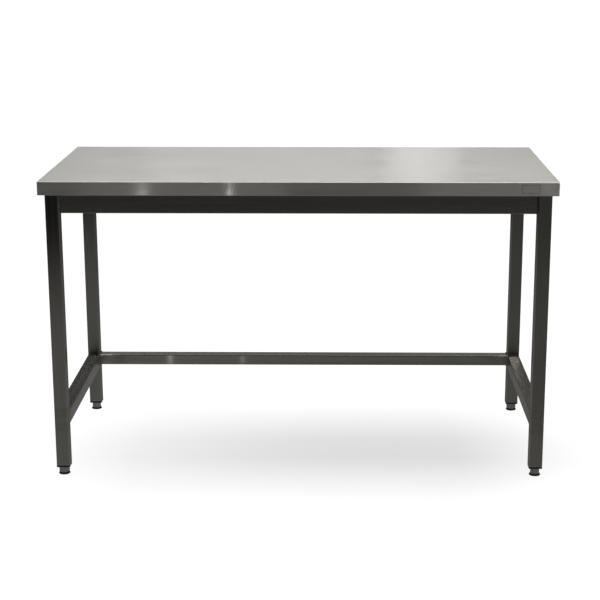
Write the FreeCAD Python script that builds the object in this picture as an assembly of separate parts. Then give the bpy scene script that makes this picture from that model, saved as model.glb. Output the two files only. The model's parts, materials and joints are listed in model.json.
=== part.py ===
import FreeCAD, Part
import math
import os
from FreeCAD import Vector

# Stainless work table with a folded worktop, a welded frame of tubes that is open at the front,
# and four screw-adjustable feet. Millimetres, +Z up. The origin is on the floor under the middle
# of the worktop, +X is the table's right-hand side seen from the front, and the front faces -Y.

# ---------------------------------------------------------------- overall sizes
TABLE_LENGTH = 1500.0
TABLE_DEPTH = 700.0
TABLE_HEIGHT = 900.0

# ---------------------------------------------------------------- worktop
EDGE_HEIGHT = 40.0
SHEET = 1.2
BEND_RADIUS = 2.2
LIP_WIDTH = 15.0
MITRE_SLIT = 0.6
BOARD_THICKNESS = 18.0
BOARD_EDGE_GAP = 1.0
LIP_CLEARANCE = 1.6
CENTRE_BATTEN_WIDTH = 90.0
BATTEN_MARGIN = 7.5

# ---------------------------------------------------------------- blank badge
BADGE_LENGTH = 52.0
BADGE_HEIGHT = 26.0
BADGE_THICKNESS = 0.4
BADGE_RECESS = 0.5
BADGE_GAP = 0.15
BADGE_FROM_END = 82.0

# ---------------------------------------------------------------- frame of tubes
LEG_SIZE = 40.0
TUBE_WALL = 1.5
TUBE_CORNER = 3.0
LEG_INSET = 17.5
APRON_HEIGHT = 60.0
APRON_DEPTH = 30.0
CROSS_RAIL_HEIGHT = 40.0
CROSS_RAIL_WIDTH = 30.0
LOWER_RAIL_TOP = 197.0
SIDE_RAIL_HEIGHT = 45.0
REAR_RAIL_HEIGHT = 35.0
WELD_SIZE = 3.0
WELD_FULLNESS = 0.6

# ---------------------------------------------------------------- brackets and their fixings
BRACKET_LENGTH = 50.0
BRACKET_LEG = 25.0
BRACKET_SHEET = 2.0
BRACKET_SPACING = 700.0
FIXING_SPACING = 28.0
FIXING_FROM_CORNER = 15.0
FIXING_CLEARANCE = 0.1
SCREW_RADIUS = 2.2
SCREW_LENGTH = 16.0
SCREW_TIP = 4.0
SCREW_HEAD_RADIUS = 4.2
SCREW_HEAD_HEIGHT = 2.4
SCREW_HEAD_CROWN_RADIUS = 2.5
SCREW_HEAD_RIM = 1.0
RIVET_RADIUS = 2.0
RIVET_HEAD_RADIUS = 4.0
RIVET_HEAD_HEIGHT = 1.3
RIVET_HEAD_CROWN_RADIUS = 2.2
RIVET_HEAD_RIM = 0.4
RIVET_BULB_RADIUS = 3.0
RIVET_BULB_LENGTH = 3.5

# ---------------------------------------------------------------- adjustable feet
FOOT_TRAVEL = 25.0
GLIDE_RADIUS = 17.0
GLIDE_TOP_RADIUS = 14.2
GLIDE_HEIGHT = 5.5
GLIDE_RIM = 3.0
GLIDE_CHAMFER = 0.8
PIVOT_RADIUS = 6.0
PIVOT_HEIGHT = 5.0
PIVOT_BEAD = 0.4
PIVOT_CLEARANCE = 0.08
SWIVEL_GAP = 0.2
HEX_FLATS = 27.0
HEX_HEIGHT = 19.0
HEX_CROWN = 0.3
HEX_CROWN_ANGLE = 30.0
HEX_STOP_GAP = 0.3
FLANGE_THICKNESS = 6.0
PLUG_LENGTH = 26.0
PLUG_FIN = 1.6
PLUG_FIN_COUNT = 4
PLUG_FIN_DEPTH = 2.0
PLUG_CLEARANCE = 0.1
STUD_RADIUS = 5.0
STUD_SEAT = 11.0
STUD_SPARE = 1.5
STUD_CHAMFER = 0.8
STUD_CLEARANCE = 0.4
THREAD_CLEARANCE = 0.05
NUT_FLATS = 17.0
NUT_HEIGHT = 8.0
NUT_CLEARANCE = 0.1

# How far each hexagon is turned when the table stands at its lowest, in degrees.
HEX_TURNS = {"front_left": 8.0, "front_right": 22.0, "rear_left": 35.0, "rear_right": 50.0}

# A cutter runs this far past the faces that it cuts through.
CUT_PAST = 1.0

# ---------------------------------------------------------------- places that follow from the sizes
EDGE_BOTTOM = TABLE_HEIGHT - EDGE_HEIGHT
SHEET_UNDER = TABLE_HEIGHT - SHEET
BOARD_UNDER = SHEET_UNDER - BOARD_THICKNESS
FRAME_TOP = EDGE_BOTTOM + SHEET + LIP_CLEARANCE
BOARD_HALF_X = TABLE_LENGTH / 2 - SHEET - BOARD_EDGE_GAP
BOARD_HALF_Y = TABLE_DEPTH / 2 - SHEET - BOARD_EDGE_GAP

FRAME_HALF_X = TABLE_LENGTH / 2 - LEG_INSET
FRAME_HALF_Y = TABLE_DEPTH / 2 - LEG_INSET
INNER_HALF_X = FRAME_HALF_X - LEG_SIZE
INNER_HALF_Y = FRAME_HALF_Y - LEG_SIZE
LEG_CENTRE_X = FRAME_HALF_X - LEG_SIZE / 2
LEG_CENTRE_Y = FRAME_HALF_Y - LEG_SIZE / 2
APRON_OUTER_X = INNER_HALF_X + APRON_DEPTH
APRON_OUTER_Y = INNER_HALF_Y + APRON_DEPTH
BATTEN_INNER_X = INNER_HALF_X - BRACKET_LEG - BATTEN_MARGIN
BATTEN_INNER_Y = INNER_HALF_Y - BRACKET_LEG - BATTEN_MARGIN

HEX_BOTTOM = GLIDE_HEIGHT + SWIVEL_GAP
HEX_TOP = HEX_BOTTOM + HEX_HEIGHT
FLANGE_BOTTOM = HEX_TOP + HEX_STOP_GAP
LEG_BOTTOM = FLANGE_BOTTOM + FLANGE_THICKNESS
PLUG_TOP = LEG_BOTTOM + PLUG_LENGTH
STUD_BOTTOM = HEX_TOP - STUD_SEAT
STUD_TOP = PLUG_TOP + FOOT_TRAVEL + STUD_SPARE

CORNERS = {
    "front_left": (-1, -1),
    "front_right": (1, -1),
    "rear_left": (-1, 1),
    "rear_right": (1, 1),
}
DOWN = Vector(0, 0, -1)
UP = Vector(0, 0, 1)


# ---------------------------------------------------------------- shapes that several pieces share
def block(low, high):
    """A plain box between two corners."""
    size = [high[i] - low[i] for i in range(3)]
    return Part.makeBox(size[0], size[1], size[2], Vector(*low))


def rounded_bar(low, high, axis, radius):
    """A box whose four edges along axis (0, 1 or 2) are rounded."""
    box = block(low, high)
    edges = [e for e in box.Edges if abs(e.tangentAt(e.FirstParameter)[axis]) > 0.99]
    return box.makeFillet(radius, edges)


def tube(low, high, axis):
    """A square or oblong tube along axis, open at both ends."""
    inner_low = [low[i] + TUBE_WALL for i in range(3)]
    inner_high = [high[i] - TUBE_WALL for i in range(3)]
    inner_low[axis] = low[axis] - CUT_PAST
    inner_high[axis] = high[axis] + CUT_PAST
    outer = rounded_bar(low, high, axis, TUBE_CORNER)
    return outer.cut(rounded_bar(inner_low, inner_high, axis, TUBE_CORNER - TUBE_WALL))


def mirrored_span(a, b, side):
    """The low and the high end of the span a to b, on the side -1 or +1 of zero."""
    return sorted((side * a, side * b))


def hexagon_prism(flats, height, base, turn=0.0):
    """An upright hexagonal prism, flats apart across its faces, turned by turn degrees."""
    corner = flats / 2 / math.cos(math.pi / 6)
    points = []
    for i in range(7):
        angle = math.radians(60 * i + turn)
        points.append(base + Vector(corner * math.cos(angle), corner * math.sin(angle), 0))
    return Part.Face(Part.makePolygon(points)).extrude(Vector(0, 0, height))


def turned_piece(profile, centre):
    """A solid of revolution about the upright line through centre. profile is (radius, z) points."""
    points = [Vector(centre[0] + r, centre[1], z) for r, z in profile]
    points.append(points[0])
    face = Part.Face(Part.makePolygon(points))
    return face.revolve(Vector(centre[0], centre[1], 0), UP, 360)


def group(solids):
    """Several separate solids as one shape."""
    return Part.makeCompound(solids)


# ---------------------------------------------------------------- worktop
def rounded_block(low, high, radius):
    """A box with all twelve edges rounded."""
    box = block(low, high)
    return box.makeFillet(radius, box.Edges)


def mitre_slits():
    """Thin cuts along the diagonals where the return lips meet at the corners."""
    slits = []
    reach = LIP_WIDTH * math.sqrt(2)
    for side_x, side_y in CORNERS.values():
        cutter = block((0, -MITRE_SLIT / 2, 0), (reach, MITRE_SLIT / 2, SHEET + CUT_PAST))
        corner_x = side_x * (TABLE_LENGTH / 2 - LIP_WIDTH)
        corner_y = side_y * (TABLE_DEPTH / 2 - LIP_WIDTH)
        cutter.translate(Vector(-CUT_PAST, 0, EDGE_BOTTOM - CUT_PAST))
        cutter.rotate(Vector(0, 0, 0), UP, math.degrees(math.atan2(side_y, side_x)))
        cutter.translate(Vector(corner_x, corner_y, 0))
        slits.append(cutter)
    return slits


def badge_span(gap):
    """Low and high x and z of the badge, or of its recess, with gap added all round."""
    right = TABLE_LENGTH / 2 - BADGE_FROM_END + BADGE_LENGTH / 2
    middle = EDGE_BOTTOM + EDGE_HEIGHT / 2
    low = (right - BADGE_LENGTH - gap, middle - BADGE_HEIGHT / 2 - gap)
    high = (right + gap, middle + BADGE_HEIGHT / 2 + gap)
    return low, high


def worktop_sheet():
    """Folded sheet: top, four edges and a return lip all round underneath."""
    half_x, half_y = TABLE_LENGTH / 2, TABLE_DEPTH / 2
    outer = rounded_block((-half_x, -half_y, EDGE_BOTTOM), (half_x, half_y, TABLE_HEIGHT), BEND_RADIUS)
    inner = rounded_block(
        (-half_x + SHEET, -half_y + SHEET, EDGE_BOTTOM + SHEET),
        (half_x - SHEET, half_y - SHEET, SHEET_UNDER),
        BEND_RADIUS - SHEET,
    )
    mouth = block(
        (-half_x + LIP_WIDTH, -half_y + LIP_WIDTH, EDGE_BOTTOM - CUT_PAST),
        (half_x - LIP_WIDTH, half_y - LIP_WIDTH, EDGE_BOTTOM + SHEET + CUT_PAST),
    )
    low, high = badge_span(BADGE_GAP)
    recess = block((low[0], -half_y - CUT_PAST, low[1]), (high[0], -half_y + BADGE_RECESS, high[1]))
    return outer.cut([inner, mouth, recess] + mitre_slits())


def blank_badge():
    """Plain plate that lies in the recess in the front edge."""
    low, high = badge_span(0)
    back = -TABLE_DEPTH / 2 + BADGE_RECESS
    plate = block((low[0], back - BADGE_THICKNESS, low[1]), (high[0], back, high[1]))
    upright = [e for e in plate.Edges if abs(e.tangentAt(e.FirstParameter).y) > 0.99]
    return plate.makeFillet(BEND_RADIUS, upright)


def wooden_pieces():
    """The core board and the battens under it, before the screw holes."""
    pieces = {
        "core_board": block(
            (-BOARD_HALF_X, -BOARD_HALF_Y, BOARD_UNDER), (BOARD_HALF_X, BOARD_HALF_Y, SHEET_UNDER)
        ),
        "centre_batten": block(
            (-CENTRE_BATTEN_WIDTH / 2, -BATTEN_INNER_Y, FRAME_TOP),
            (CENTRE_BATTEN_WIDTH / 2, BATTEN_INNER_Y, BOARD_UNDER),
        ),
    }
    for name, side in (("front_batten", -1), ("rear_batten", 1)):
        y = mirrored_span(BATTEN_INNER_Y, BOARD_HALF_Y, side)
        pieces[name] = block((-BOARD_HALF_X, y[0], FRAME_TOP), (BOARD_HALF_X, y[1], BOARD_UNDER))
    for name, side in (("left_batten", -1), ("right_batten", 1)):
        x = mirrored_span(BATTEN_INNER_X, BOARD_HALF_X, side)
        pieces[name] = block((x[0], -BATTEN_INNER_Y, FRAME_TOP), (x[1], BATTEN_INNER_Y, BOARD_UNDER))
    return pieces


# ---------------------------------------------------------------- frame of tubes
def legs():
    """Four upright tubes."""
    pieces = {}
    for corner, (side_x, side_y) in CORNERS.items():
        x = mirrored_span(INNER_HALF_X, FRAME_HALF_X, side_x)
        y = mirrored_span(INNER_HALF_Y, FRAME_HALF_Y, side_y)
        pieces[corner + "_leg"] = tube((x[0], y[0], LEG_BOTTOM), (x[1], y[1], FRAME_TOP), 2)
    return pieces


def aprons():
    """Upper tubes between the legs, flush with the legs' inner faces, and the cross rail."""
    bottom = FRAME_TOP - APRON_HEIGHT
    pieces = {}
    for name, side in (("front_apron", -1), ("rear_apron", 1)):
        y = mirrored_span(INNER_HALF_Y, APRON_OUTER_Y, side)
        pieces[name] = tube((-INNER_HALF_X, y[0], bottom), (INNER_HALF_X, y[1], FRAME_TOP), 0)
    for name, side in (("left_apron", -1), ("right_apron", 1)):
        x = mirrored_span(INNER_HALF_X, APRON_OUTER_X, side)
        pieces[name] = tube((x[0], -INNER_HALF_Y, bottom), (x[1], INNER_HALF_Y, FRAME_TOP), 1)
    pieces["centre_cross_rail"] = tube(
        (-CROSS_RAIL_WIDTH / 2, -INNER_HALF_Y, FRAME_TOP - CROSS_RAIL_HEIGHT),
        (CROSS_RAIL_WIDTH / 2, INNER_HALF_Y, FRAME_TOP),
        1,
    )
    return pieces


def lower_rails():
    """Rails near the floor at the left, the right and the back. The front stays open."""
    pieces = {}
    for name, side in (("left_lower_rail", -1), ("right_lower_rail", 1)):
        x = mirrored_span(INNER_HALF_X, FRAME_HALF_X, side)
        low = (x[0], -INNER_HALF_Y, LOWER_RAIL_TOP - SIDE_RAIL_HEIGHT)
        pieces[name] = tube(low, (x[1], INNER_HALF_Y, LOWER_RAIL_TOP), 1)
    pieces["rear_lower_rail"] = tube(
        (-INNER_HALF_X, INNER_HALF_Y, LOWER_RAIL_TOP - REAR_RAIL_HEIGHT),
        (INNER_HALF_X, FRAME_HALF_Y, LOWER_RAIL_TOP),
        0,
    )
    return pieces


def weld_bead(start, end, into_air, off_wall):
    """A three-sided bead from start to end in the corner between two faces.

    into_air and off_wall are the unit directions of its two short sides, away from the corner.
    """
    a = Vector(*start)
    toe_1 = a + into_air * WELD_SIZE
    toe_2 = a + off_wall * WELD_SIZE
    belly = a + (into_air + off_wall) * (WELD_SIZE * WELD_FULLNESS)
    crown = Part.Arc(toe_1, belly, toe_2).toShape()
    outline = Part.Wire([Part.makeLine(a, toe_1), crown, Part.makeLine(toe_2, a)])
    return Part.Face(outline).extrude(Vector(*end) - a)


def apron_welds():
    """Beads at the aprons' outer faces and undersides, and round the cross rail's ends."""
    beads = []
    under = FRAME_TOP - APRON_HEIGHT
    for side_x, side_y in CORNERS.values():
        to_middle_x = Vector(-side_x, 0, 0)
        to_middle_y = Vector(0, -side_y, 0)
        x, y = side_x * INNER_HALF_X, side_y * INNER_HALF_Y
        out_x, out_y = side_x * APRON_OUTER_X, side_y * APRON_OUTER_Y
        low_z, high_z = under + TUBE_CORNER, EDGE_BOTTOM - CUT_PAST
        beads.append(weld_bead((x, out_y, low_z), (x, out_y, high_z), to_middle_x, Vector(0, side_y, 0)))
        beads.append(weld_bead((out_x, y, low_z), (out_x, y, high_z), to_middle_y, Vector(side_x, 0, 0)))
        inset = side_y * TUBE_CORNER
        beads.append(weld_bead((x, y + inset, under), (x, out_y - inset, under), to_middle_x, DOWN))
        inset = side_x * TUBE_CORNER
        beads.append(weld_bead((x + inset, y, under), (out_x - inset, y, under), to_middle_y, DOWN))
    return beads + cross_rail_welds()


def cross_rail_welds():
    """Beads where the cross rail's ends meet the front and the rear apron."""
    beads = []
    half = CROSS_RAIL_WIDTH / 2
    under = FRAME_TOP - CROSS_RAIL_HEIGHT
    for side_y in (-1, 1):
        y = side_y * INNER_HALF_Y
        inward = Vector(0, -side_y, 0)
        for side_x in (-1, 1):
            start = (side_x * half, y, under + TUBE_CORNER)
            end = (side_x * half, y, FRAME_TOP - TUBE_CORNER)
            beads.append(weld_bead(start, end, inward, Vector(side_x, 0, 0)))
        start = (-half + TUBE_CORNER, y, under)
        beads.append(weld_bead(start, (half - TUBE_CORNER, y, under), inward, DOWN))
    return beads


def lower_rail_welds():
    """Beads on top of and under both ends of every lower rail."""
    beads = []
    for side_x, side_y in CORNERS.values():
        x0, x1 = side_x * (INNER_HALF_X + TUBE_CORNER), side_x * (FRAME_HALF_X - TUBE_CORNER)
        y = side_y * INNER_HALF_Y
        inward = Vector(0, -side_y, 0)
        beads.append(weld_bead((x0, y, LOWER_RAIL_TOP), (x1, y, LOWER_RAIL_TOP), inward, UP))
        under = LOWER_RAIL_TOP - SIDE_RAIL_HEIGHT
        beads.append(weld_bead((x0, y, under), (x1, y, under), inward, DOWN))
    for side_x in (-1, 1):
        x = side_x * INNER_HALF_X
        y0, y1 = INNER_HALF_Y + TUBE_CORNER, FRAME_HALF_Y - TUBE_CORNER
        inward = Vector(-side_x, 0, 0)
        beads.append(weld_bead((x, y0, LOWER_RAIL_TOP), (x, y1, LOWER_RAIL_TOP), inward, UP))
        under = LOWER_RAIL_TOP - REAR_RAIL_HEIGHT
        beads.append(weld_bead((x, y0, under), (x, y1, under), inward, DOWN))
    return beads


# ---------------------------------------------------------------- brackets and their fixings
def bracket_places():
    """Name, place and turn of every bracket: the corner of its angle and degrees about Z."""
    half = BRACKET_SPACING / 2
    return {
        "front_left_bracket": ((-half, -INNER_HALF_Y), 0),
        "front_right_bracket": ((half, -INNER_HALF_Y), 0),
        "rear_left_bracket": ((-half, INNER_HALF_Y), 180),
        "rear_right_bracket": ((half, INNER_HALF_Y), 180),
        "left_bracket": ((-INNER_HALF_X, 0), -90),
        "right_bracket": ((INNER_HALF_X, 0), 90),
    }


def placed(shape, place, turn):
    """A copy of shape, made with its corner line at the origin, turned and moved to its place."""
    copy = shape.copy()
    copy.rotate(Vector(0, 0, 0), UP, turn)
    copy.translate(Vector(place[0], place[1], FRAME_TOP))
    return copy


def bracket_blank():
    """Angle bracket with its outer corner on the X axis: one leg down, one leg towards +Y."""
    half = BRACKET_LENGTH / 2
    leg_down = block((-half, 0, -BRACKET_LEG), (half, BRACKET_SHEET, 0))
    leg_in = block((-half, 0, -BRACKET_SHEET), (half, BRACKET_LEG, 0))
    angle = leg_down.fuse(leg_in).removeSplitter()
    corner_line = Vector(0, 0, 0)
    outer_edge = [e for e in angle.Edges if e.CenterOfMass.distanceToPoint(corner_line) < 1e-6]
    return angle.makeFillet(BRACKET_SHEET / 2, outer_edge)


def screw_blank(grow=0.0):
    """Pan-head wood screw, head under the bracket's top leg, point up. grow widens it for a hole."""
    under = -BRACKET_SHEET
    tip = under + SCREW_LENGTH
    radius = SCREW_RADIUS + grow
    profile = [(0, under), (radius, under), (radius, tip - SCREW_TIP), (0, tip)]
    shank = turned_piece(profile, (0, 0))
    if grow:
        return shank
    low = under - SCREW_HEAD_HEIGHT
    rim = under - SCREW_HEAD_RIM
    profile = [
        (0, low),
        (SCREW_HEAD_CROWN_RADIUS, low),
        (SCREW_HEAD_RADIUS, rim),
        (SCREW_HEAD_RADIUS, under),
        (0, under),
    ]
    return turned_piece(profile, (0, 0)).fuse(shank).removeSplitter()


def rivet_blank(grow=0.0):
    """Blind rivet along -Z from its head at z = 0. grow widens it for a hole."""
    grip = BRACKET_SHEET + TUBE_WALL
    radius = RIVET_RADIUS + grow
    if grow:
        return Part.makeCylinder(radius, grip + 2 * CUT_PAST, Vector(0, 0, CUT_PAST), DOWN)
    profile = [
        (0, RIVET_HEAD_HEIGHT),
        (RIVET_HEAD_CROWN_RADIUS, RIVET_HEAD_HEIGHT),
        (RIVET_HEAD_RADIUS, RIVET_HEAD_RIM),
        (RIVET_HEAD_RADIUS, 0),
        (radius, 0),
        (radius, -grip),
        (RIVET_BULB_RADIUS, -grip),
        (RIVET_RADIUS, -grip - RIVET_BULB_LENGTH),
        (0, -grip - RIVET_BULB_LENGTH),
    ]
    return turned_piece(profile, (0, 0))


def fixings_of_bracket(grow=0.0):
    """The two screws and the two rivets of one bracket, in the bracket's own place."""
    screws = []
    rivets = []
    for side in (-1, 1):
        along = side * FIXING_SPACING / 2
        screw = screw_blank(grow)
        screw.translate(Vector(along, FIXING_FROM_CORNER, 0))
        screws.append(screw)
        rivet = rivet_blank(grow)
        rivet.rotate(Vector(0, 0, 0), Vector(1, 0, 0), -90)
        rivet.translate(Vector(along, BRACKET_SHEET, -FIXING_FROM_CORNER))
        rivets.append(rivet)
    return screws, rivets


def bracket_assembly():
    """Brackets, screws and rivets, and the holes that the screws and the rivets need."""
    screw_holes, rivet_holes = fixings_of_bracket(FIXING_CLEARANCE)
    bracket_holes = []
    for hole in screw_holes:
        place = hole.CenterOfMass
        start = Vector(place.x, place.y, CUT_PAST)
        radius = SCREW_RADIUS + FIXING_CLEARANCE
        bracket_holes.append(Part.makeCylinder(radius, BRACKET_SHEET + 2 * CUT_PAST, start, DOWN))
    bracket = bracket_blank().cut(bracket_holes + rivet_holes)
    screws, rivets = fixings_of_bracket()
    nodes = {}
    all_screws, all_rivets, holes = [], [], []
    for name, (place, turn) in bracket_places().items():
        nodes[name] = placed(bracket, place, turn)
        all_screws += [placed(s, place, turn) for s in screws]
        all_rivets += [placed(r, place, turn) for r in rivets]
        holes += [placed(h, place, turn) for h in screw_holes + rivet_holes]
    nodes["bracket_screws"] = group(all_screws)
    nodes["bracket_rivets"] = group(all_rivets)
    return nodes, holes


# ---------------------------------------------------------------- adjustable feet
def glide(centre):
    """Round base with a flared rim and a pivot that snaps into the hexagon."""
    top = HEX_BOTTOM + PIVOT_HEIGHT
    middle = (HEX_BOTTOM + top) / 2
    profile = [
        (0, 0),
        (GLIDE_RADIUS - GLIDE_CHAMFER, 0),
        (GLIDE_RADIUS, GLIDE_CHAMFER),
        (GLIDE_RADIUS, GLIDE_RIM),
        (GLIDE_TOP_RADIUS, GLIDE_HEIGHT),
        (PIVOT_RADIUS, GLIDE_HEIGHT),
        (PIVOT_RADIUS, middle - PIVOT_BEAD),
        (PIVOT_RADIUS + PIVOT_BEAD, middle),
        (PIVOT_RADIUS, middle + PIVOT_BEAD),
        (PIVOT_RADIUS, top),
        (0, top),
    ]
    return turned_piece(profile, centre)


def pivot_socket(centre):
    """The space in the hexagon that the glide's pivot turns in."""
    top = HEX_BOTTOM + PIVOT_HEIGHT + SWIVEL_GAP
    middle = HEX_BOTTOM + PIVOT_HEIGHT / 2
    radius = PIVOT_RADIUS + PIVOT_CLEARANCE
    profile = [
        (0, HEX_BOTTOM - CUT_PAST),
        (radius, HEX_BOTTOM - CUT_PAST),
        (radius, middle - PIVOT_BEAD),
        (radius + PIVOT_BEAD, middle),
        (radius, middle + PIVOT_BEAD),
        (radius, top),
        (0, top),
    ]
    return turned_piece(profile, centre)


def adjuster_hexagon(centre, turn):
    """Hexagon that a spanner turns, with crowned ends, the stud's seat and the pivot's socket."""
    base = Vector(centre[0], centre[1], HEX_BOTTOM)
    prism = hexagon_prism(HEX_FLATS, HEX_HEIGHT, base, turn)
    end_face = HEX_FLATS / 2 - HEX_CROWN
    outside = HEX_FLATS / 2 / math.cos(math.pi / 6) + CUT_PAST
    slope = (outside - end_face) * math.tan(math.radians(HEX_CROWN_ANGLE))
    profile = [
        (0, HEX_BOTTOM),
        (end_face, HEX_BOTTOM),
        (outside, HEX_BOTTOM + slope),
        (outside, HEX_TOP - slope),
        (end_face, HEX_TOP),
        (0, HEX_TOP),
    ]
    seat_base = Vector(centre[0], centre[1], STUD_BOTTOM)
    seat = Part.makeCylinder(STUD_RADIUS + THREAD_CLEARANCE, STUD_SEAT + CUT_PAST, seat_base)
    return prism.common(turned_piece(profile, centre)).cut([seat, pivot_socket(centre)])


def stud(centre):
    """Threaded stud, fixed in the hexagon and long enough to stay in the nut at full travel."""
    profile = [
        (0, STUD_BOTTOM),
        (STUD_RADIUS, STUD_BOTTOM),
        (STUD_RADIUS, STUD_TOP - STUD_CHAMFER),
        (STUD_RADIUS - STUD_CHAMFER, STUD_TOP),
        (0, STUD_TOP),
    ]
    return turned_piece(profile, centre)


def captive_nut(centre):
    """Nut held in the top of the plug."""
    base = Vector(centre[0], centre[1], PLUG_TOP - NUT_HEIGHT)
    nut = hexagon_prism(NUT_FLATS, NUT_HEIGHT, base)
    bore_base = base + DOWN * CUT_PAST
    bore = Part.makeCylinder(STUD_RADIUS + THREAD_CLEARANCE, NUT_HEIGHT + 2 * CUT_PAST, bore_base)
    return nut.cut(bore)


def plug(centre):
    """Tube plug: a flange the size of the leg, and a finned body inside it that holds the nut."""
    x, y = centre
    half = LEG_SIZE / 2
    low, high = (x - half, y - half, FLANGE_BOTTOM), (x + half, y + half, LEG_BOTTOM)
    flange = rounded_bar(low, high, 2, TUBE_CORNER)
    socket = half - TUBE_WALL - PLUG_CLEARANCE
    core = socket - PLUG_FIN_DEPTH
    shapes = [block((x - core, y - core, LEG_BOTTOM), (x + core, y + core, PLUG_TOP))]
    step = (PLUG_LENGTH - PLUG_FIN) / PLUG_FIN_COUNT
    for i in range(PLUG_FIN_COUNT):
        z = LEG_BOTTOM + (i + 0.5) * step
        low, high = (x - socket, y - socket, z), (x + socket, y + socket, z + PLUG_FIN)
        shapes.append(rounded_bar(low, high, 2, TUBE_CORNER - TUBE_WALL))
    body = flange.fuse(shapes).removeSplitter()
    bore_base = Vector(x, y, FLANGE_BOTTOM - CUT_PAST)
    bore = Part.makeCylinder(STUD_RADIUS + STUD_CLEARANCE, PLUG_TOP - bore_base.z + CUT_PAST, bore_base)
    pocket_base = Vector(x, y, PLUG_TOP - NUT_HEIGHT)
    pocket = hexagon_prism(NUT_FLATS + 2 * NUT_CLEARANCE, NUT_HEIGHT + CUT_PAST, pocket_base)
    return body.cut([bore, pocket])


def feet():
    """Glide, hexagon, stud, plug and nut under every leg."""
    pieces = {}
    for corner, (side_x, side_y) in CORNERS.items():
        centre = (side_x * LEG_CENTRE_X, side_y * LEG_CENTRE_Y)
        pieces[corner + "_glide"] = glide(centre)
        pieces[corner + "_hex"] = adjuster_hexagon(centre, HEX_TURNS[corner])
        pieces[corner + "_stud"] = stud(centre)
        pieces[corner + "_plug"] = plug(centre)
        pieces[corner + "_nut"] = captive_nut(centre)
    return pieces


# ---------------------------------------------------------------- the whole table
def build():
    """Every node of the table by name."""
    nodes = {"worktop_sheet": worktop_sheet(), "blank_badge": blank_badge()}
    fixings, holes = bracket_assembly()
    drilled = dict(wooden_pieces())
    drilled.update(aprons())
    for name, piece in drilled.items():
        near = [h for h in holes if h.BoundBox.intersect(piece.BoundBox)]
        nodes[name] = piece.cut(near) if near else piece
    nodes.update(legs())
    nodes.update(lower_rails())
    nodes["apron_welds"] = group(apron_welds())
    nodes["lower_rail_welds"] = group(lower_rail_welds())
    nodes.update(fixings)
    nodes.update(feet())
    return nodes


os.makedirs("parts", exist_ok=True)
for node_name, node_shape in build().items():
    if not node_shape.isValid():
        print("not valid:", node_name)
    node_shape.exportStep("parts/" + node_name + ".step")
    print(node_name, len(node_shape.Solids), round(node_shape.Volume))
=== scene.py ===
import json
import math

import bpy
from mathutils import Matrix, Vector

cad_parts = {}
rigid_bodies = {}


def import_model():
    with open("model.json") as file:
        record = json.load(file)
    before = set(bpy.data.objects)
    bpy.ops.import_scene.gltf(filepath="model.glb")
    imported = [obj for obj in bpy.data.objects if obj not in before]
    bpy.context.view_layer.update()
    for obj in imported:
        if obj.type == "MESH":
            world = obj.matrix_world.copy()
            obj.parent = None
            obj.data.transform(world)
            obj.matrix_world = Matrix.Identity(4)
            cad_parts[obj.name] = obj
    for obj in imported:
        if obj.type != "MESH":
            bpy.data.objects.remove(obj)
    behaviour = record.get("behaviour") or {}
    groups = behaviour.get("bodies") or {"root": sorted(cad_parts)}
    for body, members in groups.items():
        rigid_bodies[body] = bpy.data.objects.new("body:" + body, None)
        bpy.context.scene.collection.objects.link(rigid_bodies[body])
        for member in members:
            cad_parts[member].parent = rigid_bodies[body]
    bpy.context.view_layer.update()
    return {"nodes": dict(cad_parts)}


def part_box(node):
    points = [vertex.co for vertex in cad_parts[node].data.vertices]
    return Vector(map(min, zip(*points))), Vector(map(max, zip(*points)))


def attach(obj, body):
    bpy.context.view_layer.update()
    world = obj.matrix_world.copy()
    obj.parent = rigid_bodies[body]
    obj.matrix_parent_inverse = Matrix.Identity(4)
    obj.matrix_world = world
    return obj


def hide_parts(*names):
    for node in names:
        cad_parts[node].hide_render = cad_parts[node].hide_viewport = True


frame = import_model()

# Stainless work table: brushed steel, black plastic feet and a grey board under the top.
# Metres, +Z up, the front of the table faces -Y.

MM = 0.001
CORNERS = {
    "front_left": (-1, -1),
    "front_right": (1, -1),
    "rear_left": (-1, 1),
    "rear_right": (1, 1),
}
BRACKETS = (*CORNERS, "left", "right")
ALONG_X, ALONG_Y, ALONG_Z = 0, 1, 2
nodes = frame["nodes"]


# ---------------------------------------------------------------- wiring helpers
def number(tree, operation, first, second=None, clamp=False):
    """A Math node on numbers or sockets; gives its output socket."""
    node = tree.nodes.new("ShaderNodeMath")
    node.operation = operation
    node.use_clamp = clamp
    for socket, value in zip(node.inputs, (first, second)):
        if value is None:
            continue
        if isinstance(value, (int, float)):
            socket.default_value = value
        else:
            tree.links.new(value, socket)
    return node.outputs[0]


def ranged(tree, value, low, high, to_low=0.0, to_high=1.0):
    """value mapped smoothly from low..high to to_low..to_high, clamped."""
    node = tree.nodes.new("ShaderNodeMapRange")
    node.interpolation_type = "SMOOTHSTEP"
    tree.links.new(value, node.inputs["Value"])
    for name, setting in (("From Min", low), ("From Max", high), ("To Min", to_low), ("To Max", to_high)):
        if isinstance(setting, (int, float)):
            node.inputs[name].default_value = setting
        else:
            tree.links.new(setting, node.inputs[name])
    return node.outputs["Result"]


def split(tree, vector):
    """The X, Y and Z sockets of a vector."""
    node = tree.nodes.new("ShaderNodeSeparateXYZ")
    tree.links.new(vector, node.inputs[0])
    return node.outputs


def scaled(tree, vector, scale):
    """vector times scale, axis by axis."""
    node = tree.nodes.new("ShaderNodeVectorMath")
    node.operation = "MULTIPLY"
    tree.links.new(vector, node.inputs[0])
    node.inputs[1].default_value = scale
    return node.outputs[0]


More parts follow.
